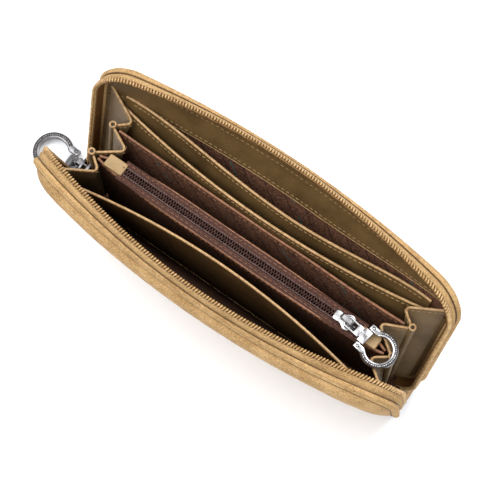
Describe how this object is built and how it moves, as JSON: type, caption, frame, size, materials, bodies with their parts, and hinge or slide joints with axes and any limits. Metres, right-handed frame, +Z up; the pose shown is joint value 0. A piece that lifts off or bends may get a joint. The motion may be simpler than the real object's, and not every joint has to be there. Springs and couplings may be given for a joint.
{
  "type": "wristlet wallet",
  "caption": "Zip-around clutch wallet standing open: suede covers, slip pockets, divider, gusseted ends, centre zip pouch and two sliders whose shackle pulls take a wrist strap.",
  "frame": {"origin": "centre of the spine's underside", "axes": "+X along the spine, away from the main zip pull's end; +Y to the rear cover; +Z up, out of the mouth"},
  "size_m": [0.2232, 0.0809, 0.0991],
  "materials": {
    "tan_suede": "suede nap",
    "olive_leather": "fine grain, satin",
    "brown_jacquard": "woven twill with fine lines",
    "board": "plain",
    "tan_zip_tape": "woven tape",
    "tan_zip_coil": "satin",
    "brown_zip_tape": "woven tape",
    "brown_zip_coil": "satin",
    "polished_metal": "polished",
    "gunmetal": "antiqued"
  },
  "bodies": {
    "core": {"spine_panel": "tan_suede", "spine_board": "board", "spine_lining": "brown_jacquard", "divider": "brown_jacquard", "pouch_front_wall": "brown_jacquard", "pouch_rear_wall": "brown_jacquard", "pouch_tape_front": "brown_zip_tape", "pouch_tape_rear": "brown_zip_tape", "pouch_coil_front": "brown_zip_coil", "pouch_coil_rear": "brown_zip_coil", "pouch_tab_left": "tan_suede", "pouch_tab_right": "tan_suede", "gusset_left_front": "olive_leather", "gusset_left_middle": "olive_leather", "gusset_left_rear": "olive_leather", "gusset_right_front": "olive_leather", "gusset_right_middle": "olive_leather", "gusset_right_rear": "olive_leather", "zip_end_left": "tan_suede", "zip_end_right": "tan_suede"},
    "front_cover": {"front_cover_panel": "tan_suede", "front_rim_piping": "tan_suede", "front_stiffener": "board", "front_lining": "brown_jacquard", "front_side_wall": "tan_suede", "front_zip_tape": "tan_zip_tape", "front_zip_coil": "tan_zip_coil", "front_facing": "olive_leather", "front_slip_pocket": "olive_leather"},
    "rear_cover": {"rear_cover_panel": "tan_suede", "rear_rim_piping": "tan_suede", "rear_stiffener": "board", "rear_lining": "brown_jacquard", "rear_side_wall": "tan_suede", "rear_zip_tape": "tan_zip_tape", "rear_zip_coil": "tan_zip_coil", "rear_facing": "olive_leather", "rear_pocket_upper": "olive_leather", "rear_pocket_lower": "olive_leather"},
    "inner_slider": {"inner_slider": "polished_metal"},
    "inner_pull": {"inner_pull": "polished_metal"},
    "inner_shackle": {"inner_shackle": "polished_metal", "inner_cross_pin": "polished_metal"},
    "main_slider": {"main_slider": "gunmetal"},
    "main_pull": {"main_pull": "gunmetal"},
    "main_shackle": {"main_shackle": "gunmetal", "main_cross_pin": "gunmetal"}
  },
  "joints": [
    {"name": "front_cover_hinge", "type": "hinge", "parent": "core", "child": "front_cover", "pos_m": [0, -0.011, 0.001], "axis": [1, 0, 0], "range_deg": [-7.5, 6], "deforming": ["front_slip_pocket", "gusset_left_front", "gusset_right_front"]},
    {"name": "rear_cover_hinge", "type": "hinge", "parent": "core", "child": "rear_cover", "pos_m": [0, 0.011, 0.001], "axis": [-1, 0, 0], "range_deg": [-9.5, 6], "deforming": ["rear_pocket_upper", "rear_pocket_lower", "divider", "gusset_left_middle", "gusset_right_middle", "gusset_left_rear", "gusset_right_rear"]},
    {"name": "inner_slider_slide", "type": "slide", "parent": "core", "child": "inner_slider", "axis": [-1, 0, 0], "range_m": [0, 0.11]},
    {"name": "inner_pull_hinge", "type": "hinge", "parent": "inner_slider", "child": "inner_pull", "pos_m": [0.057, -0.0014, 0.07005], "axis": [0.1564, 0.9877, 0], "range_deg": [-126, 0]},
    {"name": "inner_shackle_hinge", "type": "hinge", "parent": "inner_pull", "child": "inner_shackle", "pos_m": [0.06767, -0.00309, 0.07005], "axis": [0.1564, 0.9877, 0], "range_deg": [-50, 0]},
    {"name": "main_slider_slide", "type": "slide", "parent": "rear_cover", "child": "main_slider", "axis": [0, 0.2164, 0.9763], "range_m": [0, 0.05]},
    {"name": "main_pull_hinge", "type": "hinge", "parent": "main_slider", "child": "main_pull", "pos_m": [-0.0992, 0.002, 0.0139], "axis": [0, 1, 0], "range_deg": [0, 80]},
    {"name": "main_shackle_hinge", "type": "hinge", "parent": "main_pull", "child": "main_shackle", "pos_m": [-0.10663, 0.002, 0.00328], "axis": [0, 1, 0], "range_deg": [0, 42]}
  ]
}
